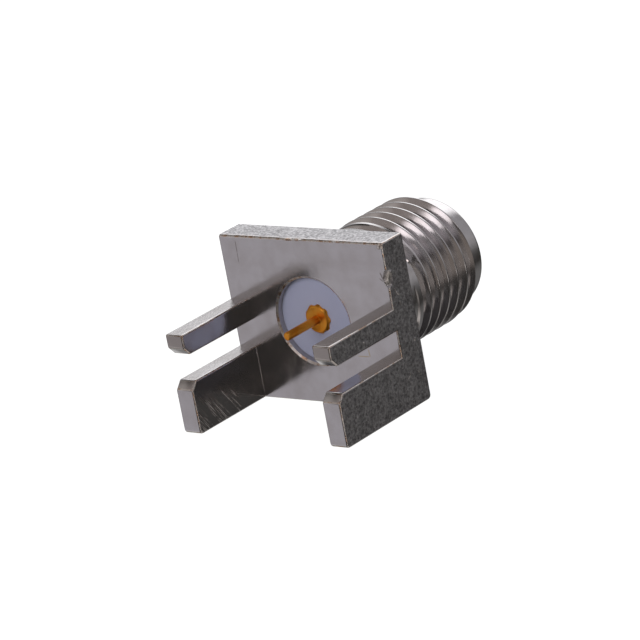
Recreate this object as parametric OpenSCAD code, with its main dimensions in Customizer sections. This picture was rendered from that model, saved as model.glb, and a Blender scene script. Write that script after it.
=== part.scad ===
// Threaded coaxial jack for the edge of a circuit board: a barrel on a rectangular flange, whose four legs
// hold the board between them, with an insulator and a slotted centre contact inside.
// Origin on the barrel's axis at the flange's rear face, +Y towards the mating end, +Z up.

/* [Flange] */
// Width of the flange, and across the outer faces of the legs
flange_w = 9.525; // [8.5:0.025:14]
// Height of the flange
flange_h = 7.925; // [7:0.025:14]
// Thickness of the flange
flange_t = 1.55; // [1:0.05:2.5]

/* [Board legs] */
// Length of the four legs behind the flange
leg_l = 4.75; // [3:0.05:8]
// Thickness of a leg, across the connector
leg_t = 1; // [0.6:0.05:1.6]
// Height of the two upper legs
upper_leg_h = 1.04; // [0.7:0.02:2]
// Gap between an upper and a lower leg, which takes the board
board_slot = 1.25; // [0.8:0.05:2.2]
// Length of the lead-in at the end of each leg, along the leg
lead_in_l = 0.36; // [0.1:0.02:0.8]
// Height of the lead-in at the end of each leg
lead_in_h = 0.4; // [0.1:0.02:0.6]

/* [Barrel] */
// Length from the flange's rear face to the mating face
overall_l = 9.5; // [8.5:0.05:14]
// Major diameter of the thread
thread_d = 6.35; // [6:0.05:6.9]
// Diameter of the plain pilot in front of the thread
pilot_d = 5.48; // [5.2:0.02:5.8]
// Length of the pilot
pilot_l = 0.85; // [0.4:0.05:1.4]
// Edge break round the mating face
nose_break = 0.12; // [0.04:0.01:0.2]

/* [Thread] */
// Pitch of the thread
thread_pitch = 0.7056; // [0.5:0.0001:0.9]
// Distance from the flange's rear face to where the groove starts
groove_start = 3.68; // [2.6:0.02:5]
// Angle from straight up to where the groove starts
groove_start_angle = 80; // [0:1:359]
// Turns in which the groove comes to its full depth
runout_turns = 0.8; // [0.4:0.1:1.5]

/* [Mating socket] */
// Diameter of the recess that takes the plug
socket_d = 4.6; // [4.4:0.02:4.8]
// Depth of the recess, down to the reference plane
socket_depth = 1.98; // [1.5:0.02:2.6]
// Edge break at the mouth of the recess
mouth_break = 0.08; // [0.02:0.01:0.12]

/* [Insulator] */
// Diameter of the insulator
insulator_d = 4.1; // [3.6:0.05:4.3]
// Depth of the insulator's rear end inside the flange's rear face
insulator_recess = 0.35; // [0.25:0.05:0.8]
// Radial clearance of the insulator in the body
insulator_fit = 0.02; // [0.01:0.01:0.05]
// Edge break where the bore opens in the flange's rear face
rear_break = 0.1; // [0.02:0.01:0.2]

/* [Centre contact] */
// Diameter of the contact's shank
contact_d = 1.27; // [1.15:0.01:1.4]
// Depth of the contact's front end below the reference plane
contact_recess = 0.1; // [0:0.02:0.24]
// Diameter of the hole that takes the plug's pin
pin_hole_d = 0.94; // [0.8:0.01:1]
// Depth of the pin hole
pin_hole_l = 2.7; // [2:0.1:3.2]
// Edge break at the mouth of the pin hole
pin_hole_break = 0.05; // [0.02:0.01:0.08]
// Number of spring fingers
fingers = 4; // [2:1:4]
// Width of the slots between the fingers
finger_slot_w = 0.15; // [0.08:0.01:0.16]
// Length of the slots
finger_slot_l = 2.4; // [1.2:0.1:2.6]
// Radial clearance of the contact in the insulator
contact_fit = 0.01; // [0.01:0.01:0.04]

/* [Ridged collar] */
// Diameter over the collar's ridges
collar_d = 1.44; // [1.42:0.02:1.8]
// Length of the collar
collar_l = 2; // [0.8:0.1:2.8]
// Depth of the collar's rear face inside the flange's rear face
collar_recess = 0.22; // [0:0.02:0.24]
// Number of ridges round the collar
ridges = 9; // [7:1:14]
// Depth of the flutes between the ridges
flute_depth = 0.1; // [0.04:0.01:0.14]
// Width of the land on top of each ridge
ridge_land = 0.08; // [0.03:0.01:0.12]
// Edge break round the collar's rear face
collar_break = 0.12; // [0.04:0.01:0.16]

/* [Solder tail] */
// Diameter of the solder tail
tail_d = 0.4; // [0.3:0.02:0.6]
// Length of the solder tail behind the flange's rear face
tail_l = 2; // [1:0.1:4]
// Edge break at the tip of the tail
tail_break = 0.07; // [0.02:0.01:0.12]

/* [Hidden] */
$fn = 96;

// the board's upper face touches the tail, so the slot starts at the tail's underside
slot_top = -tail_d / 2;
slot_bottom = slot_top - board_slot;

bore_r = insulator_d / 2 + insulator_fit;
reference_y = overall_l - socket_depth;
thread_end_y = overall_l - pilot_l - (thread_d - pilot_d) / 2;

// a 60 degree thread with a flat on its crest and at its root
thread_half_angle = 30;
crest_flat = thread_pitch / 8;
root_flat = thread_pitch / 5;
groove_w = thread_pitch - crest_flat;
thread_depth = (groove_w - root_flat) / 2 / tan(thread_half_angle);
// how far the groove's tool stands out of the metal, its steps in a turn, and its share of the depth at first
groove_clear = 0.05;
groove_steps = 36;
groove_start_share = 0.03;
groove_sections = ceil((overall_l - pilot_l + thread_pitch / 2 - groove_start) / thread_pitch * groove_steps);

contact_front_y = reference_y - contact_recess;
collar_front_y = collar_recess + collar_l;
shank_hole_r = contact_d / 2 + contact_fit;
collar_hole_r = collar_d / 2 + contact_fit;

// a flute is an arc of this radius, sunk by flute_depth between two lands
flute_half_chord = (PI * collar_d / ridges - ridge_land) / 2;
flute_r = (pow(flute_half_chord, 2) + pow(flute_depth, 2)) / (2 * flute_depth);
// turns the ridges to where they stand against the legs
ridge_phase = 12;

nickel = [0.62, 0.61, 0.6];
ptfe = [0.9, 0.9, 0.94];
gold = [0.85, 0.52, 0.14];

// a solid turned about the connector's axis from a profile of [radius, y] points
module turned(profile) {
    rotate([-90, 0, 0])
        rotate_extrude()
            polygon([for (p = profile) [p[0], p[1]]]);
}

// a round hole on the connector's axis from y0 to y1
module axial_hole(r, y0, y1) {
    translate([0, y0, 0])
        rotate([-90, 0, 0])
            cylinder(r = r, h = y1 - y0);
}

// outline of an upper leg in the Y-Z plane, from the flange's rear face to its end
function upper_leg_outline() = [
    [0, slot_top],
    [0, slot_top + upper_leg_h],
    [-leg_l, slot_top + upper_leg_h],
    [-leg_l, slot_top + lead_in_h],
    [-leg_l + lead_in_l, slot_top]
];

// outline of a lower leg, flush with the flange's underside
function lower_leg_outline() = [
    [0, -flange_h / 2],
    [0, slot_bottom],
    [-leg_l + lead_in_l, slot_bottom],
    [-leg_l, slot_bottom - lead_in_h],
    [-leg_l, -flange_h / 2]
];

// a leg on the +X side; its root runs into the flange so that both are one piece
module leg(outline) {
    translate([flange_w / 2 - leg_t, 0, 0])
        rotate([90, 0, 90])
            linear_extrude(height = leg_t)
                polygon([for (p = outline) [p[0] == 0 ? flange_t / 2 : p[0], p[1]]]);
}

module both_sides() {
    children();
    mirror([1, 0, 0])
        children();
}

module flange() {
    translate([-flange_w / 2, 0, -flange_h / 2])
        cube([flange_w, flange_t, flange_h]);
}

module barrel() {
    turned([
        [0, flange_t / 2],
        [thread_d / 2, flange_t / 2],
        [thread_d / 2, thread_end_y],
        [pilot_d / 2, overall_l - pilot_l],
        [pilot_d / 2, overall_l - nose_break],
        [pilot_d / 2 - nose_break, overall_l],
        [0, overall_l]
    ]);
}

// share of its full depth that the groove has come to after this many turns
function groove_share(turns) = min(1, max(groove_start_share, pow(turns / runout_turns, 3 / 4)));

// corners of the groove's section there, as [radius, y from its middle]
function groove_section(share) =
    let (root_r = thread_d / 2 - share * thread_depth,
         outer_r = thread_d / 2 + groove_clear,
         root_y = share * root_flat / 2,
         outer_y = share * groove_w / 2 + groove_clear * tan(thread_half_angle))
    [[root_r, -root_y], [root_r, root_y], [outer_r, outer_y], [outer_r, -outer_y]];

// the right-hand helical groove between the crests: it deepens from nothing and runs out through the chamfer
module thread_groove() {
    points = [
        for (i = [0 : groove_sections])
            let (turns = i / groove_steps,
                 angle = groove_start_angle + turns * 360,
                 middle_y = groove_start + turns * thread_pitch)
                for (corner = groove_section(groove_share(turns)))
                    [corner[0] * sin(angle), middle_y + corner[1], corner[0] * cos(angle)]
    ];
    sides = [
        for (i = [0 : groove_sections - 1])
            for (j = [0 : 3])
                let (a = 4 * i + j, b = 4 * i + (j + 1) % 4)
                    each [[a, b + 4, b], [a, a + 4, b + 4]]
    ];
    ends = [[0, 1, 2, 3], [for (j = [3 : -1 : 0]) 4 * groove_sections + j]];
    polyhedron(points, concat(ends, sides));
}

module body_bore() {
    turned([
        [0, -1],
        [bore_r + rear_break + 1, -1],
        [bore_r, rear_break],
        [bore_r, reference_y],
        [socket_d / 2, reference_y],
        [socket_d / 2, overall_l - mouth_break],
        [socket_d / 2 + mouth_break + 1, overall_l + 1],
        [0, overall_l + 1]
    ]);
}

module connector_body() {
    color(nickel)
        difference() {
            union() {
                flange();
                barrel();
                both_sides() {
                    leg(upper_leg_outline());
                    leg(lower_leg_outline());
                }
            }
            body_bore();
            thread_groove();
        }
}

module insulator() {
    color(ptfe)
        turned([
            [collar_hole_r, insulator_recess],
            [insulator_d / 2, insulator_recess],
            [insulator_d / 2, reference_y],
            [shank_hole_r, reference_y],
            [shank_hole_r, collar_front_y],
            [collar_hole_r, collar_front_y]
        ]);
}

// ridges bite into the insulator and keep the contact from turning
module ridged_collar() {
    difference() {
        turned([
            [0, collar_recess],
            [collar_d / 2 - collar_break, collar_recess],
            [collar_d / 2, collar_recess + collar_break],
            [collar_d / 2, collar_front_y],
            [0, collar_front_y]
        ]);
        for (i = [0 : ridges - 1])
            rotate([0, ridge_phase + (i + 0.5) * 360 / ridges, 0])
                translate([0, 0, collar_d / 2 - flute_depth + flute_r])
                    axial_hole(flute_r, collar_recess - 1, collar_front_y + 1);
    }
}

module shank() {
    turned([
        [0, collar_front_y - 0.1],
        [contact_d / 2, collar_front_y - 0.1],
        [contact_d / 2, contact_front_y],
        [0, contact_front_y]
    ]);
}

module solder_tail() {
    turned([
        [0, -tail_l],
        [tail_d / 2 - tail_break, -tail_l],
        [tail_d / 2, -tail_l + tail_break],
        [tail_d / 2, collar_recess + 0.1],
        [0, collar_recess + 0.1]
    ]);
}

module pin_hole() {
    turned([
        [0, contact_front_y - pin_hole_l],
        [pin_hole_d / 2, contact_front_y - pin_hole_l],
        [pin_hole_d / 2, contact_front_y - pin_hole_break],
        [pin_hole_d / 2 + pin_hole_break + 1, contact_front_y + 1],
        [0, contact_front_y + 1]
    ]);
}

module finger_slots() {
    for (i = [0 : fingers - 1])
        rotate([0, i * 360 / fingers, 0])
            translate([-finger_slot_w / 2, contact_front_y - finger_slot_l, 0])
                cube([finger_slot_w, finger_slot_l + 1, contact_d]);
}

module centre_contact() {
    color(gold)
        difference() {
            union() {
                ridged_collar();
                shank();
                solder_tail();
            }
            pin_hole();
            finger_slots();
        }
}

connector_body();
insulator();
centre_contact();
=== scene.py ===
import math

import bpy
from mathutils import Matrix, Vector


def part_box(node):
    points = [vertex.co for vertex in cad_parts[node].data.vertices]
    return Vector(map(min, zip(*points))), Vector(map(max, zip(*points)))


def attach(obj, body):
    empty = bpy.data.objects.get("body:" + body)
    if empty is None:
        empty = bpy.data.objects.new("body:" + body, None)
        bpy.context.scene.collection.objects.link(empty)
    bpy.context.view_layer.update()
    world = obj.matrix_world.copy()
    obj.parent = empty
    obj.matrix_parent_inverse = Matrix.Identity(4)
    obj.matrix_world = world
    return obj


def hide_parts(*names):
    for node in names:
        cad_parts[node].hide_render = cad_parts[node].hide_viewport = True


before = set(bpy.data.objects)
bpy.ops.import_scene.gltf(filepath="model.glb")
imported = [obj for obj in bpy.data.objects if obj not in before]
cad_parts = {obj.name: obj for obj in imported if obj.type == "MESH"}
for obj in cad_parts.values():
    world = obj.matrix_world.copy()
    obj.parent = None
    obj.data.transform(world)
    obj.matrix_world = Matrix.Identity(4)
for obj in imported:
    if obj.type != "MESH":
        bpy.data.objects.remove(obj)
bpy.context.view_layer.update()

# every piece is drawn in millimetres and brought to metres when it is finished
mm = 0.001
smoothAngle = math.radians(35)
smallFace = 0.3           # square millimetres; faces below this are split before slivers are dropped
sliver = 0.0001           # millimetres
bodyLow, bodyHigh = [corner / mm for corner in map(Vector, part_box("connector_body"))]
insulatorLow, insulatorHigh = [corner / mm for corner in map(Vector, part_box("insulator"))]
contactLow, contactHigh = [corner / mm for corner in map(Vector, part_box("centre_contact"))]


def leaveEdit():
    if bpy.context.object and bpy.context.object.mode != "OBJECT":
        bpy.ops.object.mode_set(mode="OBJECT")


def makeActive(obj):
    leaveEdit()
    bpy.ops.object.select_all(action="DESELECT")
    obj.select_set(True)
    bpy.context.view_layer.objects.active = obj


def pick(obj, kind, wanted):
    # opens the mesh with only the wanted points, edges or faces selected
    makeActive(obj)
    mesh = obj.data
    for parts in (mesh.vertices, mesh.edges, mesh.polygons):
        parts.foreach_set("select", [False] * len(parts))
    if kind == "points":
        for point in mesh.vertices:
            point.select = wanted(point.co)
    elif kind == "edges":
        for edge in mesh.edges:
            a, b = (mesh.vertices[i].co for i in edge.vertices)
            edge.select = wanted((a + b) / 2, (b - a).normalized())
    else:
        for face in mesh.polygons:
            face.select = wanted(face.center, face.normal)
    bpy.context.tool_settings.mesh_select_mode = (kind == "points", kind == "edges", kind == "faces")
    bpy.ops.object.mode_set(mode="EDIT")


def editAll(obj):
    makeActive(obj)
    bpy.context.tool_settings.mesh_select_mode = (True, False, False)
    bpy.ops.object.mode_set(mode="EDIT")
    bpy.ops.mesh.select_all(action="SELECT")


def tidyMesh(obj):
    editAll(obj)
    bpy.ops.mesh.remove_doubles(threshold=0.0002)
    bpy.ops.mesh.normals_make_consistent(inside=False)
    leaveEdit()


def drawProfile(name, points):
    # a line of (radius, y) points above the axis
    radius, y = points[0]
    bpy.ops.object.select_all(action="DESELECT")
    bpy.ops.mesh.primitive_plane_add(size=0.1, location=(0, y, radius))
    obj = bpy.context.object
    obj.name = name
    bpy.ops.object.transform_apply(location=True)
    editAll(obj)
    bpy.ops.mesh.merge(type="CENTER")
    for here, there in zip(points, points[1:]):
        step = (0, there[1] - here[1], there[0] - here[0])
        bpy.ops.mesh.extrude_region_move(TRANSFORM_OT_translate={"value": step})
    leaveEdit()
    return obj


def turnProfile(name, points, steps):
    obj = drawProfile(name, points)
    editAll(obj)
    bpy.ops.mesh.spin(steps=steps, angle=2 * math.pi, center=(0, 0, 0), axis=(0, 1, 0))
    leaveEdit()
    tidyMesh(obj)
    return obj


def applyModifier(obj, kind, **settings):
    makeActive(obj)
    bpy.ops.object.modifier_add(type=kind)
    modifier = obj.modifiers[-1]
    for key, value in settings.items():
        setattr(modifier, key, value)
    bpy.ops.object.modifier_apply(modifier=modifier.name)


def combine(obj, other, how, solver="MANIFOLD"):
    applyModifier(obj, "BOOLEAN", operation=how, solver=solver, object=other)
    bpy.data.objects.remove(other)


def roundOff(centre, radius, start, end, steps):
    # points of an arc in (radius, y), angles in degrees from the outward direction
    return [(centre[0] + radius * math.cos(math.radians(start + (end - start) * i / steps)),
             centre[1] + radius * math.sin(math.radians(start + (end - start) * i / steps)))
            for i in range(steps + 1)]


def finishPiece(obj, node):
    # small faces are split and slivers dropped, so that the mesh is closed; large flat faces stay whole
    editAll(obj)
    bpy.ops.mesh.select_mode(type="FACE")
    bpy.ops.mesh.select_all(action="DESELECT")
    makeActive(obj)
    for face in obj.data.polygons:
        face.select = face.area < smallFace
    bpy.ops.object.mode_set(mode="EDIT")
    bpy.ops.mesh.quads_convert_to_tris()
    bpy.ops.mesh.select_all(action="SELECT")
    bpy.ops.mesh.dissolve_degenerate(threshold=sliver)
    makeActive(obj)

    # millimetres to metres, smooth shading, and its place in the frame
    obj.scale = (mm, mm, mm)
    bpy.ops.object.transform_apply(location=True, rotation=True, scale=True)
    bpy.ops.object.shade_smooth_by_angle(angle=smoothAngle)
    applyModifier(obj, "WEIGHTED_NORMAL", keep_sharp=True, weight=50)
    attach(obj, "root")
    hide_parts(node)
    print(obj.name, len(obj.data.polygons), "faces")


# the body: flange and legs milled from bar, barrel turned and threaded
flange = {
    "width": bodyHigh.x - bodyLow.x,
    "height": bodyHigh.z - bodyLow.z,
    "thickness": 1.55,
    "edgeRound": 0.09,
    "lowerRound": 0.2,        # the lowest edges, across the body, are rounder
    "topRound": 0.15,         # so is the top rear edge, where the burrs stand
    "rootFillet": 0.035,      # only at the lower left leg, where the cutter left one
    "chip": ((4.9, -0.1, 2.28), (0.4, 0.5, 0.5)),       # a knock in the rear right edge
    "burrs": (((-0.62, 0.01, 3.905), (0.34, 0.08, 0.055)), ((-0.12, 0.01, 3.91), (0.3, 0.07, 0.05)),
              ((2.15, 0.015, 3.915), (0.22, 0.045, 0.045)), ((4.6, 0.0, 3.8), (0.12, 0.07, 0.12))),
}
legs = {
    "length": -bodyLow.y,
    "thickness": 1.0,
    "slotTop": -0.2,
    "slotBottom": -1.45,
    "upperHeight": 1.04,
    "leadInLength": 0.36,
    "leadInHeight": 0.4,
}
barrel = {
    "end": bodyHigh.y,
    "threadRadius": 3.175,
    "pitch": 25.4 / 36,
    "depth": 0.42,
    "crestRound": 0.03,
    "rootRound": 0.06,
    "grooveStart": 3.68,      # y where the groove begins
    "grooveStartAngle": 80,   # degrees from straight up, there
    "runOutTurns": 0.8,       # turns in which the groove comes to its full depth
    "firstCrestCut": 0.09,    # the first crest is cut away where the tool lifted, from here
    "firstCrestEnd": 70,      # to this many degrees from straight up
    "burr": (60, 4.42),       # degrees and y of the curl of metal left in the first groove
    "burrReach": (8, 0.14),
    "burrRise": 0.12,
    "pilotRadius": 2.74,
    "pilotLength": 0.85,
    "noseRound": 0.26,
    "socketRadius": 2.3,
    "socketDepth": 1.98,
    "mouthBreak": 0.08,
    "boreRadius": 2.07,
    "lipWidth": 0.11,         # the shallow countersink round the rear of the bore
    "lipDepth": 0.065,
    "steps": 160,
}


def millFlange(f, l):
    halfWidth, halfHeight = f["width"] / 2, f["height"] / 2
    bpy.ops.object.select_all(action="DESELECT")
    bpy.ops.mesh.primitive_cube_add(size=1, location=(0, f["thickness"] / 2, 0))
    obj = bpy.context.object
    obj.name = "connectorBody"
    obj.scale = (f["width"], f["thickness"], f["height"])
    bpy.ops.object.transform_apply(location=True, scale=True)

    # lines round the four places where the legs grow out
    upperTop = l["slotTop"] + l["upperHeight"]
    innerFace = halfWidth - l["thickness"]
    editAll(obj)
    for x in (-innerFace, innerFace):
        bpy.ops.mesh.select_all(action="SELECT")
        bpy.ops.mesh.bisect(plane_co=(x, 0, 0), plane_no=(1, 0, 0))
    for z in (upperTop, l["slotTop"], l["slotBottom"]):
        bpy.ops.mesh.select_all(action="SELECT")
        bpy.ops.mesh.bisect(plane_co=(0, 0, z), plane_no=(0, 0, 1))
    leaveEdit()

    def legRoot(centre, normal):
        inLeg = l["slotTop"] < centre.z < upperTop or centre.z < l["slotBottom"]
        return normal.y < -0.9 and abs(centre.x) > innerFace and inLeg

    pick(obj, "faces", legRoot)
    for step in (l["length"] - l["leadInLength"], l["leadInLength"]):
        bpy.ops.mesh.extrude_region_move(TRANSFORM_OT_translate={"value": (0, -step, 0)})
    leaveEdit()

    # lead-ins, on the side of each leg that meets the board
    for z, rise in ((l["slotTop"], l["leadInHeight"]), (l["slotBottom"], -l["leadInHeight"])):
        pick(obj, "points", lambda p: p.y < 0.001 - l["length"] and abs(p.z - z) < 0.001)
        bpy.ops.transform.translate(value=(0, 0, rise))
        leaveEdit()

    editAll(obj)
    bpy.ops.mesh.dissolve_limited(angle_limit=math.radians(1))
    leaveEdit()

    def lowest(centre, along):
        atEnd = min(abs(centre.y + l["length"]), abs(centre.y - f["thickness"])) < 0.001
        return centre.z < 0.001 - halfHeight and abs(along.x) > 0.9 and atEnd

    def topRear(centre, along):
        return centre.z > halfHeight - 0.001 and abs(centre.y) < 0.001 and abs(along.x) > 0.9

    for wanted, size in ((lowest, f["lowerRound"]), (topRear, f["topRound"])):
        pick(obj, "edges", wanted)
        bpy.ops.mesh.bevel(offset=size, segments=4, profile=0.5)
        leaveEdit()

    # outer edges are rounded; the corners where the legs grow out stay sharp
    def outer(centre, along):
        inRearFace = abs(centre.y) < 0.001
        inRear = (inRearFace and abs(centre.x) < halfWidth - 0.01
                  and abs(centre.z) < halfHeight - 0.01)
        fromEnds = max(centre.y - f["thickness"] + f["lowerRound"], f["lowerRound"] - l["length"] - centre.y)
        inLowerRound = centre.z < f["lowerRound"] - halfHeight + 0.001 and fromEnds > -0.001
        atTop = centre.z > halfHeight - f["topRound"] - 0.001
        inTopRound = atTop and -0.001 < centre.y < f["topRound"] + 0.001
        return not inRear and not (abs(along.x) > 0.9 and (inLowerRound or inTopRound))

    pick(obj, "edges", outer)
    bpy.ops.mesh.bevel(offset=f["edgeRound"], segments=3, profile=0.5, miter_inner="SHARP")
    leaveEdit()

    def lowerLeftRoot(centre, along):
        return abs(centre.x + innerFace) < 0.01 and abs(centre.y) < 0.01 and centre.z < l["slotBottom"] + 0.01

    pick(obj, "edges", lambda centre, along: lowerLeftRoot(centre, along) and abs(along.z) > 0.9)
    bpy.ops.mesh.bevel(offset=f["rootFillet"], segments=2, profile=0.5)
    leaveEdit()

    for (centre, radii), how in [(f["chip"], "DIFFERENCE")] + [(burr, "UNION") for burr in f["burrs"]]:
        bpy.ops.object.select_all(action="DESELECT")
        bpy.ops.mesh.primitive_uv_sphere_add(segments=40, ring_count=20, radius=1, location=centre)
        knob = bpy.context.object
        knob.scale = radii
        bpy.ops.object.transform_apply(location=True, scale=True)
        combine(obj, knob, how)
    return obj


def threadProfile(b):
    # one pitch of the thread, from crest to crest, as (radius, y) points
    top, root, flank = b["threadRadius"], b["threadRadius"] - b["depth"], math.radians(60)
    crestFlat = b["pitch"] / 8
    crestReach = b["crestRound"] * math.tan(flank / 2)
    rootReach = b["rootRound"] * math.tan(flank / 2)
    crestEnd = crestFlat / 2 - crestReach
    rootEnd = crestFlat / 2 + b["depth"] / math.tan(flank) + rootReach
    crest = [(top - b["crestRound"] * (1 - math.cos(flank * i / 3)),
              crestEnd + b["crestRound"] * math.sin(flank * i / 3)) for i in range(4)]
    foot = [(root + b["rootRound"] * (1 - math.cos(flank * i / 4)),
             rootEnd - b["rootRound"] * math.sin(flank * i / 4)) for i in range(4, -1, -1)]
    middle = [tuple(a + (c - a) * i / 3 for a, c in zip(crest[-1], foot[0])) for i in (1, 2)]
    half = [(top, 0)] + crest + middle + foot
    return half + [(root, b["pitch"] / 2)] + [(r, b["pitch"] - y) for r, y in reversed(half)]


def ease(value):
    value = min(max(value, 0), 1)
    return value * value * (3 - 2 * value)


def cutThread(b):
    low, high = 0.8, b["end"] + 0.2
    startTurn = b["grooveStartAngle"] / 360
    crestAtTop = b["grooveStart"] + (0.5 - startTurn) * b["pitch"]
    first = math.floor((low - crestAtTop) / b["pitch"]) - 1
    shift = crestAtTop + first * b["pitch"]
    turns = math.ceil((high - shift) / b["pitch"]) + 1
    obj = drawProfile("thread", [(r, y + shift) for r, y in threadProfile(b)])
    applyModifier(obj, "SCREW", axis="Y", angle=2 * math.pi, screw_offset=b["pitch"], iterations=turns,
                  steps=b["steps"], render_steps=b["steps"], use_merge_vertices=False)

    # the groove comes up out of the metal where the tool leaves the work, and the shank behind it is plain
    grooveHalf = b["pitch"] * 7 / 16 + 0.03
    for vertex in obj.data.vertices:
        x, y, z = vertex.co
        turn = math.atan2(x, z) / (2 * math.pi)
        along = (y - crestAtTop) / b["pitch"] - turn
        centre = math.floor(along) + 0.5
        offset = (along - centre) * b["pitch"]
        turnsIn = centre + turn + 0.5 - startTurn
        amount = min(max(turnsIn / b["runOutTurns"], 0), 1) ** 0.75
        if amount < 1 and abs(offset) < grooveHalf:
            radius = math.hypot(x, z)
            sunk = b["threadRadius"] - amount * (b["threadRadius"] - radius)
            vertex.co = (x * sunk / radius, y - offset * (1 - amount ** 0.45), z * sunk / radius)
        x, y, z = vertex.co
        radius, fromFirst = math.hypot(x, z), y - crestAtTop - b["pitch"]
        cut = b["firstCrestCut"] * ease((0.25 - fromFirst) / 0.5) * ease((fromFirst + 0.9) / 0.3)
        cut *= ease((b["firstCrestEnd"] - turn * 360) / 12) * ease((turn * 360 + 150) / 100)
        if radius > b["threadRadius"] - cut:
            shorter = (b["threadRadius"] - cut) / radius
            vertex.co = (x * shorter, y, z * shorter)
        x, y, z = vertex.co
        radius = math.hypot(x, z)
        away = sum(((at - middle) / reach) ** 2
                   for at, middle, reach in zip((turn * 360, y), b["burr"], b["burrReach"]))
        raised = min(radius + b["burrRise"] * math.exp(-away), max(radius, b["threadRadius"] - 0.02)) / radius
        vertex.co = (x * raised, y, z * raised)
    tidyMesh(obj)
    for y, side in ((low, "inner"), (high, "outer")):
        editAll(obj)
        bpy.ops.mesh.bisect(plane_co=(0, y, 0), plane_no=(0, 1, 0), use_fill=True,
                            clear_inner=side == "inner", clear_outer=side == "outer")
        leaveEdit()
    tidyMesh(obj)
    return obj


def turnBlank(b):
    # the outside of the barrel before it is threaded
    top, pilot, end = b["threadRadius"], b["pilotRadius"], b["end"]
    pilotStart = end - b["pilotLength"]
    nose = roundOff((pilot - b["noseRound"], end - b["noseRound"]), b["noseRound"], 0, 90, 8)
    return turnProfile("blank", [(0, 0.7), (top + 0.4, 0.7), (top + 0.4, pilotStart + pilot - top - 0.4),
                                 (pilot, pilotStart)] + nose + [(0, end)], b["steps"])


def boreTool(b):
    bore, socket, end = b["boreRadius"], b["socketRadius"], b["end"]
    reference = end - b["socketDepth"]
    lip = [(bore + b["lipWidth"] + 0.01, -0.01), (bore + b["lipWidth"] - 0.01, 0.004), (bore, b["lipDepth"])]
    mouth = [(socket, end - b["mouthBreak"]), (socket + 0.02, end - 0.03), (socket + b["mouthBreak"], end)]
    return turnProfile("boreTool", [(0, -1), (bore + b["lipWidth"] + 0.01, -1)] + lip + [(bore, reference),
                                    (socket, reference)] + mouth + [(socket + b["mouthBreak"], end + 1),
                                    (0, end + 1)], b["steps"])


body = millFlange(flange, legs)
print("flange and legs milled")
thread = cutThread(barrel)
combine(thread, turnBlank(barrel), "INTERSECT")
print("barrel threaded")
combine(body, thread, "UNION")
combine(body, boreTool(barrel), "DIFFERENCE")
print("body bored")


insulator = {
    "rear": insulatorLow.y,
    "front": insulatorHigh.y,
    "radius": barrel["boreRadius"] - 0.002,
    "shankHole": 0.645,
    "edgeRound": 0.01,
    "steps": 128,
}


def turnInsulator(s):
    r, outer = s["edgeRound"], s["radius"]
    rear = roundOff((outer - r, s["rear"] + r), r, -90, 0, 4)
    front = roundOff((outer - r, s["front"] - r), r, 0, 90, 4)
    profile = [(s["shankHole"], s["rear"])] + rear + front + [(s["shankHole"] + 0.03, s["front"]),
                                                             (s["shankHole"], s["front"] - 0.03)]
    return turnProfile("ptfeInsulator", profile + profile[:1], s["steps"])


plug = turnInsulator(insulator)


contact = {
    "front": contactHigh.y,
    "tailEnd": contactLow.y,
    "tailRadius": 0.2,
    "tailBreak": 0.07,
    "collarRadius": contactHigh.x,
    "collarRear": 0.22,
    "collarFront": 2.22,
    "collarBreak": 0.12,
    "ridges": 9,
    "ridgeTurn": 12,          # degrees from straight up to the first ridge
    "ridgeLand": 0.08,
    "fluteDepth": 0.07,
    "shankRadius": 0.635,
    "pinHoleRadius": 0.47,
    "pinHoleDepth": 2.7,
    "pinHoleBreak": 0.05,
    "drillPoint": 0.15,
    "fingers": 4,
    "fingerSlot": 0.15,
    "fingerSlotLength": 2.4,
    "steps": 96,
}


def turnContact(c):
    tail, shank, collar, front = c["tailRadius"], c["shankRadius"], c["collarRadius"], c["front"]
    tip = roundOff((tail - c["tailBreak"], c["tailEnd"] + c["tailBreak"]), c["tailBreak"], -90, 0, 4)
    edge = c["collarBreak"]
    shoulder = [(collar - edge - 0.02, c["collarRear"]), (collar - edge, c["collarRear"] + 0.008),
                (collar - 0.012, c["collarRear"] + edge - 0.008), (collar, c["collarRear"] + edge + 0.02)]
    outside = [(0, c["tailEnd"])] + tip + [(tail, c["collarRear"] - 0.03), (tail + 0.03, c["collarRear"])]
    outside += shoulder + [(collar, c["collarFront"]), (shank, c["collarFront"])]
    outside += roundOff((shank - 0.03, front - 0.03), 0.03, 0, 90, 3)
    hole, deep = c["pinHoleRadius"], front - c["pinHoleDepth"]
    inside = [(hole + c["pinHoleBreak"], front), (hole, front - c["pinHoleBreak"]),
              (hole, deep), (0, deep - c["drillPoint"])]
    return turnProfile("goldContact", outside + inside, c["steps"])


def fluteTool(c):
    halfChord = (2 * math.pi * c["collarRadius"] / c["ridges"] - c["ridgeLand"]) / 2
    radius = (halfChord ** 2 + c["fluteDepth"] ** 2) / (2 * c["fluteDepth"])
    length = c["collarFront"] - c["collarRear"] + 0.1
    bpy.ops.object.select_all(action="DESELECT")
    bpy.ops.mesh.primitive_cylinder_add(
        vertices=48, radius=radius, depth=length, rotation=(math.pi / 2, 0, 0),
        location=(0, c["collarRear"] - 0.05 + length / 2, c["collarRadius"] - c["fluteDepth"] + radius))
    obj = bpy.context.object
    bpy.ops.object.transform_apply(location=True, rotation=True)
    turn = 2 * math.pi / c["ridges"]
    obj.data.transform(Matrix.Rotation(math.radians(c["ridgeTurn"]) + turn / 2, 4, "Y"))
    copies = [obj]
    for i in range(1, c["ridges"]):
        copy = obj.copy()
        copy.data = obj.data.copy()
        copy.data.transform(Matrix.Rotation(i * turn, 4, "Y"))
        bpy.context.collection.objects.link(copy)
        copies.append(copy)
    makeActive(obj)
    for copy in copies:
        copy.select_set(True)
    bpy.ops.object.join()
    return obj


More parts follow.
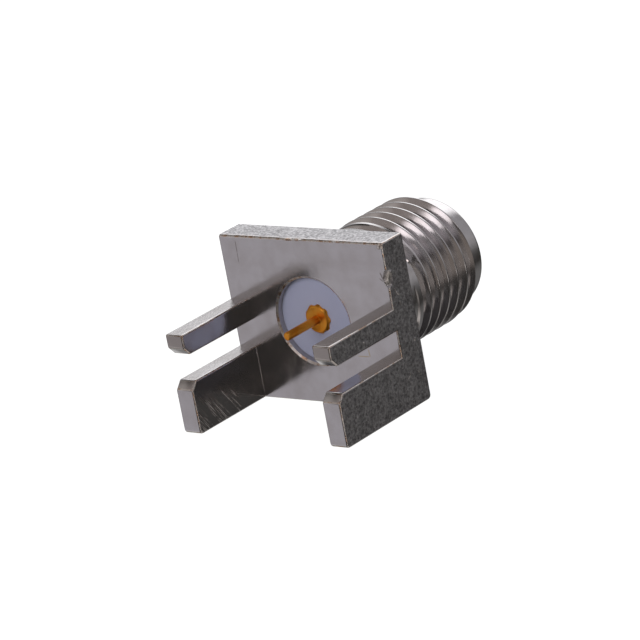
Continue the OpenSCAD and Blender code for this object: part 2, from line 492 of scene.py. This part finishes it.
def slotTool(c):
    bpy.ops.object.select_all(action="DESELECT")
    length = c["fingerSlotLength"] + 0.5
    bpy.ops.mesh.primitive_cube_add(size=1, location=(0, c["front"] - c["fingerSlotLength"] + length / 2, 0))
    obj = bpy.context.object
    obj.scale = (c["fingerSlot"], length, 4 * c["shankRadius"])
    bpy.ops.object.transform_apply(location=True, scale=True)
    return obj


pin = turnContact(contact)
combine(pin, fluteTool(contact), "DIFFERENCE")
combine(pin, slotTool(contact), "DIFFERENCE")
crossSlot = slotTool(contact)
crossSlot.data.transform(Matrix.Rotation(math.pi / 2, 4, "Y"))
combine(pin, crossSlot, "DIFFERENCE")
print("contact turned, fluted and slotted")

# the contact is pressed into the insulator, which closes round its ridges
press = pin.copy()
press.data = pin.data.copy()
bpy.context.collection.objects.link(press)
combine(plug, press, "DIFFERENCE")
print("contact pressed into the insulator")


def startMaterial(name, colour, metallic, roughness):
    material = bpy.data.materials.new(name)
    material.use_nodes = True
    nodes, links = material.node_tree.nodes, material.node_tree.links
    shader = nodes["Principled BSDF"]
    shader.inputs["Base Color"].default_value = (*colour, 1)
    shader.inputs["Metallic"].default_value = metallic
    shader.inputs["Roughness"].default_value = roughness
    return material, nodes, links, shader


def objectPlace(nodes):
    return nodes.new("ShaderNodeTexCoord").outputs["Object"]


def stretched(nodes, links, place, scale, turn=(0, 0, 0)):
    mapping = nodes.new("ShaderNodeMapping")
    mapping.inputs["Scale"].default_value = scale
    mapping.inputs["Rotation"].default_value = [math.radians(a) for a in turn]
    links.new(place, mapping.inputs["Vector"])
    return mapping.outputs["Vector"]


def grain(nodes, links, place, scale, detail=3, rough=0.55):
    # noise from 0 to 1; scale is in features per metre
    texture = nodes.new("ShaderNodeTexNoise")
    texture.inputs["Scale"].default_value = scale
    texture.inputs["Detail"].default_value = detail
    texture.inputs["Roughness"].default_value = rough
    links.new(place, texture.inputs["Vector"])
    return texture.outputs["Fac"]


def remap(nodes, links, value, low, high, toLow=0.0, toHigh=1.0):
    ramp = nodes.new("ShaderNodeMapRange")
    for socket, number in (("From Min", low), ("From Max", high), ("To Min", toLow), ("To Max", toHigh)):
        ramp.inputs[socket].default_value = number
    links.new(value, ramp.inputs["Value"])
    return ramp.outputs["Result"]


def calculate(nodes, links, operation, first, second):
    node = nodes.new("ShaderNodeMath")
    node.operation = operation
    for socket, value in zip(node.inputs, (first, second)):
        if isinstance(value, (int, float)):
            socket.default_value = value
        else:
            links.new(value, socket)
    return node.outputs["Value"]


def tint(nodes, links, shader, amount, first, second):
    # the surface's colour, between two shades
    mix = nodes.new("ShaderNodeMix")
    mix.data_type = "RGBA"
    mix.inputs[6].default_value = (*first, 1)
    mix.inputs[7].default_value = (*second, 1)
    links.new(amount, mix.inputs[0])
    links.new(mix.outputs[2], shader.inputs["Base Color"])


def overlay(nodes, links, shader, amount, colour):
    # lays one more shade over the colour the surface already has
    mix = nodes.new("ShaderNodeMix")
    mix.data_type = "RGBA"
    links.new(shader.inputs["Base Color"].links[0].from_socket, mix.inputs[6])
    mix.inputs[7].default_value = (*colour, 1)
    links.new(amount, mix.inputs[0])
    links.new(mix.outputs[2], shader.inputs["Base Color"])


def relief(nodes, links, shader, heights):
    # heights are (value, depth in metres) pairs, one bump on another
    normal = None
    for value, depth in heights:
        bump = nodes.new("ShaderNodeBump")
        bump.inputs["Distance"].default_value = depth
        links.new(value, bump.inputs["Height"])
        if normal:
            links.new(normal, bump.inputs["Normal"])
        normal = bump.outputs["Normal"]
    links.new(normal, shader.inputs["Normal"])


def fromAxis(nodes, links, place):
    # distance from the connector's axis, and distance along it
    parts = nodes.new("ShaderNodeSeparateXYZ")
    links.new(place, parts.inputs["Vector"])
    flat = nodes.new("ShaderNodeCombineXYZ")
    links.new(parts.outputs["X"], flat.inputs["X"])
    links.new(parts.outputs["Z"], flat.inputs["Z"])
    length = nodes.new("ShaderNodeVectorMath")
    length.operation = "LENGTH"
    links.new(flat.outputs["Vector"], length.inputs[0])
    return length.outputs["Value"], parts.outputs["Y"]


def turningMarks(nodes, links, place, spacing):
    # fine rings round the axis, wherever the surface faces
    radius, along = fromAxis(nodes, links, place)
    rings = nodes.new("ShaderNodeCombineXYZ")
    links.new(radius, rings.inputs["X"])
    links.new(along, rings.inputs["Y"])
    return grain(nodes, links, rings.outputs["Vector"], 1 / spacing, 2, 0.6)


def scratch(nodes, links, place, start, end, width):
    # 1 on a thin line between two points (mm), 0 away from it
    start, end = Vector(start) * mm, Vector(end) * mm
    fromStart = nodes.new("ShaderNodeVectorMath")
    fromStart.operation = "SUBTRACT"
    links.new(place, fromStart.inputs[0])
    fromStart.inputs[1].default_value = start
    found = []
    for operation in ("DOT_PRODUCT", "CROSS_PRODUCT"):
        node = nodes.new("ShaderNodeVectorMath")
        node.operation = operation
        links.new(fromStart.outputs["Vector"], node.inputs[0])
        node.inputs[1].default_value = (end - start).normalized()
        found.append(node)
    away = nodes.new("ShaderNodeVectorMath")
    away.operation = "LENGTH"
    links.new(found[1].outputs["Vector"], away.inputs[0])
    length = (end - start).length
    near = remap(nodes, links, away.outputs["Value"], width * mm, width * mm * 0.3)
    first = remap(nodes, links, found[0].outputs["Value"], 0, length * 0.2)
    last = remap(nodes, links, found[0].outputs["Value"], length, length * 0.8)
    return calculate(nodes, links, "MULTIPLY", near, calculate(nodes, links, "MULTIPLY", first, last))


def scratches(nodes, links, place, lines):
    # 1 on any of the lines
    values = [scratch(nodes, links, place, *line) for line in lines]
    total = values[0]
    for value in values[1:]:
        total = calculate(nodes, links, "MAXIMUM", total, value)
    return total


nickel = {
    "bright": (0.7, 0.68, 0.685),
    "dull": (0.6, 0.57, 0.56),
    # the two milled colours are the plate's colours darkened: painted shade on the leg tops and the left
    # legs' inner faces
    "milled": (0.6, 0.58, 0.58),
    "milledShadedDull": (0.5, 0.475, 0.465),
    "sheared": (0.46, 0.42, 0.39),
    "sawn": (0.78, 0.77, 0.78),
    "sawnDark": (0.26, 0.25, 0.26),
    # darker than the plate: painted shade on the bore's wall
    "bored": (0.44, 0.42, 0.42),
    # painted light for edges and knocks: a bright painted sheen and a painted brown reflection
    "paintedSheen": (0.92, 0.88, 0.84),
    "paintedBrownReflection": (0.62, 0.43, 0.31),
    "scratchDark": (0.3, 0.27, 0.25),
    "scratches": (            # start and end in mm, and half width
        ((-3.778, 0, 3.737), (-3.79, 0, 3.1), 0.03), ((-3.79, 0, 3.2), (-3.808, 0, 2.62), 0.022),
        ((4.38, 0, 2.6), (4.53, 0, 2.19), 0.05), ((4.3, 0, 2.3), (4.5, 0, 2.15), 0.03)),
    # knocks: real dents, with a bright colour that is a painted glint
    "knocks": (               # bright marks on the rough right side
        ((4.763, 1.07, -0.93), (4.763, 1.18, -1.01), 0.09), ((4.763, 0.36, -2.26), (4.763, 0.4, -2.46), 0.05),
        ((4.763, 0.42, -2.42), (4.763, 0.16, -2.53), 0.05),
        ((4.763, 0.96, -2.42), (4.763, 1.03, -2.53), 0.06),
        ((4.763, 1.06, -2.6), (4.763, 1.11, -2.68), 0.05), ((4.763, -2.44, 0.17), (4.763, -2.33, 0.14), 0.06),
        ((4.763, 0.56, 1.05), (4.763, 0.61, 0.85), 0.05), ((4.763, 0.36, 1.75), (4.763, 0.42, 1.5), 0.05),
        ((4.763, 0.42, 1.55), (4.763, 0.66, 1.3), 0.05),
        ((4.6, 0.1, 1.95), (4.66, 0.3, 2.65), 0.2)),          # the floor of the chip
    # a painted reflection: brownish lines on the rear face between the right legs
    "brownReflection": (0.62, 0.52, 0.36),
    "brownReflectionLines": (
        ((2.196, 0, -1.534), (2.934, 0, -1.524), 0.035), ((2.934, 0, -1.55), (2.9, 0, -1.15), 0.04)),
    "streakTurn": -36,        # degrees of the scratches on the lower left leg, from upright
    "streakStretch": 0.04,    # and how fine they are along their length, as a share of across
}


def makeNickelPlate(n, name, bright, dull, leftGrain):
    # milled and plated: nearly a mirror, with a faint waviness and a few specks
    material, nodes, links, shader = startMaterial(name, bright, 1, 0.15)
    place = objectPlace(nodes)
    cloudy = grain(nodes, links, place, 900, 4)
    fine = grain(nodes, links, place, 9000, 3)
    tint(nodes, links, shader, remap(nodes, links, cloudy, 0.35, 0.75), bright, dull)
    overlay(nodes, links, shader, scratches(nodes, links, place, n["scratches"]), n["scratchDark"])
    # painted reflection: brownish lines on the rear face
    overlay(nodes, links, shader, scratches(nodes, links, place, n["brownReflectionLines"]), n["brownReflection"])

    # the sheared ends of the upper legs are duller
    parts = nodes.new("ShaderNodeSeparateXYZ")
    links.new(place, parts.inputs["Vector"])
    atEnd = remap(nodes, links, parts.outputs["Y"], -4.66 * mm, -4.7 * mm)
    inUpper = remap(nodes, links, parts.outputs["Z"], -0.8 * mm, -0.7 * mm)
    sheared = calculate(nodes, links, "MULTIPLY", atEnd, inUpper)
    overlay(nodes, links, shader, sheared, n["sheared"])

    # the lower left leg was dragged over something hard: light streaks near its end
    turned = stretched(nodes, links, place, (1, 1, 1), (n["streakTurn"], 0, 0))
    across = stretched(nodes, links, turned, (1, 1, n["streakStretch"]))
    streaks = remap(nodes, links, grain(nodes, links, across, 5200, 3, 0.7), 0.55, 0.66)
    for axis, nothing, full in (("X", -3.74 * mm, -3.755 * mm), ("Y", -1 * mm, -2.2 * mm),
                                ("Z", -2 * mm, -3 * mm)):
        streaks = calculate(nodes, links, "MULTIPLY", streaks,
                            remap(nodes, links, parts.outputs[axis], nothing, full))
    streaks = calculate(nodes, links, "MULTIPLY", streaks,
                        remap(nodes, links, parts.outputs["X"], -3.79 * mm, -3.77 * mm))
    rough = remap(nodes, links, cloudy, 0.3, 0.7, 0.12, 0.2)
    links.new(calculate(nodes, links, "MAXIMUM", rough, calculate(nodes, links, "MULTIPLY", streaks, 0.5)),
              shader.inputs["Roughness"])
    pits = calculate(nodes, links, "MULTIPLY", grain(nodes, links, place, 8500, 3, 0.6),
                     remap(nodes, links, parts.outputs["X"], -3.78 * mm, -3.84 * mm))
    waves = grain(nodes, links, place, 1400, 2)
    relief(nodes, links, shader, ((waves, 4e-6), (fine, 0.8e-6), (streaks, 16e-6), (pits, leftGrain)))
    return material


def makePaintedEdgeSheen(n):
    # bright and brown patches along the edges: painted highlight and painted brown reflection
    material, nodes, links, shader = startMaterial("paintedEdgeSheen", n["paintedSheen"], 1, 0.3)
    place = objectPlace(nodes)
    patches = grain(nodes, links, place, 2600, 4, 0.65)
    tint(nodes, links, shader, remap(nodes, links, patches, 0.4, 0.54), n["paintedBrownReflection"], n["paintedSheen"])
    links.new(remap(nodes, links, patches, 0.4, 0.6, 0.24, 0.42), shader.inputs["Roughness"])
    relief(nodes, links, shader, ((grain(nodes, links, place, 6000, 3), 24e-6),))
    return material


def makeSawnNickel(n):
    # left rough by the saw and then plated: a fine even grain that glitters
    material, nodes, links, shader = startMaterial("sawnNickel", n["sawn"], 1, 0.42)
    place = objectPlace(nodes)
    pits = grain(nodes, links, place, 8500, 3, 0.6)
    coarse = grain(nodes, links, place, 2600, 2)
    tint(nodes, links, shader, remap(nodes, links, pits, 0.33, 0.67), n["sawnDark"], n["sawn"])
    # the knocks are dented by the bump, and their bright colour is a painted glint
    knocks = scratches(nodes, links, place, n["knocks"])
    overlay(nodes, links, shader, knocks, n["paintedSheen"])
    links.new(remap(nodes, links, coarse, 0.3, 0.7, 0.3, 0.46), shader.inputs["Roughness"])
    relief(nodes, links, shader, ((pits, 34e-6), (coarse, 26e-6), (knocks, 140e-6)))
    return material


def makeTurnedNickel(n):
    material, nodes, links, shader = startMaterial("turnedNickel", n["bright"], 1, 0.15)
    place = objectPlace(nodes)
    rings = turningMarks(nodes, links, place, 0.00006)
    cloudy = grain(nodes, links, place, 1500, 4)
    tint(nodes, links, shader, remap(nodes, links, cloudy, 0.4, 0.75), n["bright"], n["dull"])
    links.new(remap(nodes, links, rings, 0.3, 0.7, 0.1, 0.2), shader.inputs["Roughness"])
    relief(nodes, links, shader, ((rings, 1.2e-6), (grain(nodes, links, place, 3000, 2), 3e-6)))
    return material


def makeBoredNickel(n):
    # the bore's wall keeps the coarser marks of the boring bar; its darker colour is painted shade in the
    # recess
    material, nodes, links, shader = startMaterial("boredShadedNickel", n["dull"], 1, 0.4)
    place = objectPlace(nodes)
    rings = turningMarks(nodes, links, place, 0.00008)
    tint(nodes, links, shader, grain(nodes, links, place, 2500, 4), n["bored"], n["dull"])
    links.new(remap(nodes, links, rings, 0.3, 0.7, 0.34, 0.48), shader.inputs["Roughness"])
    relief(nodes, links, shader, ((rings, 4e-6),))
    return material


def makePtfe():
    material, nodes, links, shader = startMaterial("ptfe", (0.6, 0.605, 0.745), 0, 0.45)
    shader.inputs["Subsurface Weight"].default_value = 0.25
    shader.inputs["Subsurface Radius"].default_value = (1, 1, 1)
    shader.inputs["Subsurface Scale"].default_value = 0.0003
    shader.inputs["IOR"].default_value = 1.36
    place = objectPlace(nodes)
    rings = turningMarks(nodes, links, place, 0.00009)
    tint(nodes, links, shader, grain(nodes, links, place, 700, 3), (0.57, 0.575, 0.715), (0.63, 0.635, 0.765))
    links.new(remap(nodes, links, rings, 0.3, 0.7, 0.38, 0.52), shader.inputs["Roughness"])
    relief(nodes, links, shader, ((rings, 2e-6), (grain(nodes, links, place, 4000, 2), 3e-6)))
    return material


def makeGoldPlate():
    material, nodes, links, shader = startMaterial("goldPlate", (1, 0.43, 0.06), 1, 0.4)
    place = objectPlace(nodes)
    cloudy = grain(nodes, links, place, 2500, 3)
    tint(nodes, links, shader, remap(nodes, links, cloudy, 0.35, 0.7), (1, 0.44, 0.06), (1, 0.36, 0.03))
    rings = turningMarks(nodes, links, place, 0.00004)
    links.new(remap(nodes, links, rings, 0.3, 0.7, 0.27, 0.4), shader.inputs["Roughness"])
    relief(nodes, links, shader, ((rings, 3e-6), (cloudy, 14e-6)))
    return material


nickelPlate = makeNickelPlate(nickel, "nickelPlate", nickel["bright"], nickel["dull"], 0)
# a darker copy of the plate: the grain on the left legs is real, the darker colour is painted shade
milledShadedNickel = makeNickelPlate(nickel, "milledShadedNickel", nickel["milled"], nickel["milledShadedDull"], 26e-6)
sawnNickel, turnedNickel = makeSawnNickel(nickel), makeTurnedNickel(nickel)
boredShadedNickel, paintedEdgeSheen = makeBoredNickel(nickel), makePaintedEdgeSheen(nickel)
ptfe, goldPlate = makePtfe(), makeGoldPlate()


def onKnob(face, centre, radii):
    return abs(Vector([(a - b) / r for a, b, r in zip(face.center, centre, radii)]).length - 1) < 0.06


def meanWidth(mesh, face):
    corners = [mesh.vertices[i].co for i in face.vertices]
    return face.area / max((a - b).length for a, b in zip(corners, corners[1:] + corners[:1]))


bodyFinishes = [nickelPlate, sawnNickel, turnedNickel, boredShadedNickel, paintedEdgeSheen, milledShadedNickel]
body.data.materials.clear()
for material in bodyFinishes:
    body.data.materials.append(material)
halfWidth, halfHeight = flange["width"] / 2, flange["height"] / 2
innerFace = halfWidth - legs["thickness"]
for face in body.data.polygons:
    x, y, z = face.center
    inward = face.normal.x * x + face.normal.z * z < -0.4
    # the bore's wall takes the darker bored finish: painted shade in the recess
    if inward and math.hypot(x, z) < barrel["boreRadius"] + 0.05 and y > barrel["lipDepth"]:
        finish = boredShadedNickel
    elif y > flange["thickness"] + 0.001 or math.hypot(x, z) < barrel["boreRadius"] and y > 0.01:
        finish = turnedNickel
    # burrs and, below, narrow edge faces take the edges' painted sheen
    elif any(onKnob(face, *burr) for burr in flange["burrs"]):
        finish = paintedEdgeSheen
    elif onKnob(face, *flange["chip"]):
        finish = sawnNickel
    elif max(abs(face.normal.x), abs(face.normal.z)) > 0.999 and (
            abs(x) > halfWidth - 0.01 or abs(z) > halfHeight - 0.01):
        finish = sawnNickel
    # narrow edge faces: the painted sheen of the edges
    elif max(map(abs, face.normal)) < 0.9 and y < flange["thickness"] and meanWidth(body.data, face) < 0.12:
        finish = paintedEdgeSheen
    # leg tops and the left legs' inner faces take the darker copy: painted shade
    elif y < 0 and (face.normal.z > 0.99 or face.normal.x > 0.99 and abs(x + innerFace) < 0.01):
        finish = milledShadedNickel
    else:
        finish = nickelPlate
    face.material_index = bodyFinishes.index(finish)
plug.data.materials.clear()
plug.data.materials.append(ptfe)
pin.data.materials.clear()
pin.data.materials.append(goldPlate)

finishPiece(body, "connector_body")
finishPiece(plug, "insulator")
finishPiece(pin, "centre_contact")


floorSet = {
    "height": bodyLow.z * mm,
    "size": 0.8,
    "shadowMiddle": (0.0022, 0.0006),
    "shadowReach": (0.0026, 0.005),
    "shadowEdge": (0.88, 1.1),          # where the pool's edge starts and ends, in reaches
}
bpy.ops.object.select_all(action="DESELECT")
bpy.ops.mesh.primitive_plane_add(size=floorSet["size"], location=(0, 0, floorSet["height"]))
floor = bpy.context.object
floor.name = "paleFloor"
bpy.ops.object.transform_apply(location=True)
paleFloor, nodes, links, shader = startMaterial("paleFloor", (0.2, 0.2, 0.2), 0, 1)
path = nodes.new("ShaderNodeLightPath")
shader.inputs["Emission Color"].default_value = (1, 1, 1, 1)
links.new(path.outputs["Is Camera Ray"], shader.inputs["Emission Strength"])

# the metal sees the room below it too, and a painted shadow: a dark pool, a fixed ellipse under the
# connector, that only reflections see
wide, long = floorSet["shadowReach"]
place = stretched(nodes, links, objectPlace(nodes), (1 / wide, 1 / long, 1))
middle = nodes.new("ShaderNodeVectorMath")
middle.operation = "DISTANCE"
links.new(place, middle.inputs[0])
middle.inputs[1].default_value = (floorSet["shadowMiddle"][0] / wide, floorSet["shadowMiddle"][1] / long,
                                  floorSet["height"])
outside = remap(nodes, links, middle.outputs["Value"], *floorSet["shadowEdge"])
clear = nodes.new("ShaderNodeBsdfTransparent")
either = nodes.new("ShaderNodeMixShader")
links.new(calculate(nodes, links, "MULTIPLY", outside, path.outputs["Is Glossy Ray"]), either.inputs["Fac"])
links.new(shader.outputs["BSDF"], either.inputs[1])
links.new(clear.outputs["BSDF"], either.inputs[2])
links.new(either.outputs["Shader"], nodes["Material Output"].inputs["Surface"])
floor.data.materials.append(paleFloor)

world = bpy.data.worlds.new("studio")
bpy.context.scene.world = world
world.use_nodes = True
nodes, links = world.node_tree.nodes, world.node_tree.links
background = nodes["Background"]
path = nodes.new("ShaderNodeLightPath")
direction = nodes.new("ShaderNodeTexCoord")


def patchOfLight(toward, inner, outer, colour):
    # a soft patch of the room: full inside the first angle from its middle, gone outside the second
    dot = nodes.new("ShaderNodeVectorMath")
    dot.operation = "DOT_PRODUCT"
    dot.inputs[1].default_value = Vector(toward).normalized()
    links.new(direction.outputs["Generated"], dot.inputs[0])
    ramp = nodes.new("ShaderNodeMapRange")
    ramp.interpolation_type = "SMOOTHSTEP"
    ramp.inputs["From Min"].default_value = math.cos(math.radians(outer))
    ramp.inputs["From Max"].default_value = math.cos(math.radians(inner))
    links.new(dot.outputs["Value"], ramp.inputs["Value"])
    scaled = nodes.new("ShaderNodeVectorMath")
    scaled.operation = "SCALE"
    scaled.inputs[0].default_value = colour
    links.new(ramp.outputs["Result"], scaled.inputs["Scale"])
    return scaled.outputs["Vector"]


# the room, as (middle, inner angle, outer angle, colour)
room = {
    "softbox": ((-0.3, 0.715, 0.63), 12, 32, (0.85, 0.85, 0.87)),
    "leftWindow": ((-0.68, 0.68, 0.28), 20, 58, (0.22, 0.22, 0.23)),
    "overFront": ((0.06, -0.88, 0.46), 5, 15, (1.35, 1.26, 1.3)),
    "leftWall": ((-0.66, -0.72, -0.3), 22, 40, (0.37, 0.357, 0.385)),
    "leftCeiling": ((-0.79, -0.46, 0.4), 6, 24, (0.34, 0.315, 0.3)),
    "frontCeiling": ((-0.3, -0.75, 0.6), 8, 30, (0.23, 0.2, 0.19)),
    "front": ((0.36, -0.93, -0.08), 8, 23, (0.17, 0.145, 0.13)),
    "behindRight": ((0.46, 0.715, 0.53), 20, 44, (0.285, 0.28, 0.295)),
    "aboveRight": ((0.55, 0.05, 0.83), 10, 36, (0.3, 0.28, 0.3)),
    "rightWall": ((1, -0.1, -0.08), 12, 34, (0.28, 0.26, 0.245)),
    "underRight": ((0.4, 0.02, -0.92), 10, 34, (0.48, 0.45, 0.43)),
    "lowEdge": ((0.84, -0.46, -0.28), 4, 9, (1.8, 1.68, 1.63)),
    "highEdge": ((0.71, -0.24, 0.65), 4, 10, (1.4, 1.25, 1.18)),
    "right": ((0.75, 0.6, 0), 10, 26, (0.06, 0.06, 0.06)),
    "lowRight": ((0.2, 0.715, -0.66), 10, 26, (0.12, 0.12, 0.12)),
    "lowLeft": ((-0.65, -0.1, -0.76), 14, 38, (0.22, 0.22, 0.22)),
}
dimRoom = (0.04, 0.038, 0.036)

# white paper hangs and lies behind the connector: the metal mirrors it, and the camera sees plain white
paper = {
    "hanging": ((-0.4, 0.715, 0.57), 14, 36, (0.46, 0.46, 0.46)),
    "lying": ((-0.7, 0.6, -0.38), 14, 36, (0.5, 0.5, 0.5)),
}


def addUp(first, *rest):
    total = first
    for other in rest:
        add = nodes.new("ShaderNodeVectorMath")
        links.new(total, add.inputs[0])
        links.new(other, add.inputs[1])
        total = add.outputs["Vector"]
    return total


paperLight = nodes.new("ShaderNodeVectorMath")
paperLight.operation = "SCALE"
links.new(addUp(*[patchOfLight(*patch) for patch in paper.values()]), paperLight.inputs[0])
links.new(path.outputs["Is Glossy Ray"], paperLight.inputs["Scale"])
roomLight = nodes.new("ShaderNodeVectorMath")
roomLight.inputs[0].default_value = dimRoom
links.new(addUp(*[patchOfLight(*patch) for patch in room.values()], paperLight.outputs["Vector"]),
          roomLight.inputs[1])
seen = nodes.new("ShaderNodeMix")
seen.data_type = "RGBA"
seen.inputs[7].default_value = (1, 1, 1, 1)
toCamera = calculate(nodes, links, "MAXIMUM", path.outputs["Is Camera Ray"],
                     path.outputs["Is Transmission Ray"])
links.new(toCamera, seen.inputs[0])
links.new(roomLight.outputs["Vector"], seen.inputs[6])
links.new(seen.outputs[2], background.inputs["Color"])

# a lamp that only the dull surfaces notice
lamp = {
    "place": (0.01, -0.19, 0.09),
    "size": 0.16,
    "power": 0.14,
    "colour": (0.82, 0.88, 1),
}
bpy.ops.object.light_add(type="AREA", location=lamp["place"])
fill = bpy.context.object
fill.data.shape = "DISK"
fill.data.size = lamp["size"]
fill.data.energy = lamp["power"]
fill.data.color = lamp["colour"]
fill.rotation_mode = "QUATERNION"
fill.rotation_quaternion = Vector(lamp["place"]).to_track_quat("Z", "Y")
fill.visible_camera = False
fill.visible_glossy = False

lens = {
    "place": (0.112114, -0.127215, 0.053931),
    "azimuth": 41.29,
    "elevation": 17.64,
    "roll": -10.76,
    "focalLength": 221.0,
}
bpy.ops.object.camera_add(location=lens["place"])
camera = bpy.context.object
camera.data.lens = lens["focalLength"]
camera.data.sensor_width = 36
camera.data.clip_start = 0.01
camera.rotation_mode = "QUATERNION"
azimuth, elevation = math.radians(lens["azimuth"]), math.radians(lens["elevation"])
level = math.cos(elevation)
back = Vector((level * math.sin(azimuth), -level * math.cos(azimuth), math.sin(elevation)))
turned = back.to_track_quat("Z", "Y") @ Matrix.Rotation(math.radians(lens["roll"]), 4, "Z").to_quaternion()
camera.rotation_quaternion = turned
bpy.context.scene.camera = camera
bpy.context.scene.view_settings.view_transform = "Standard"
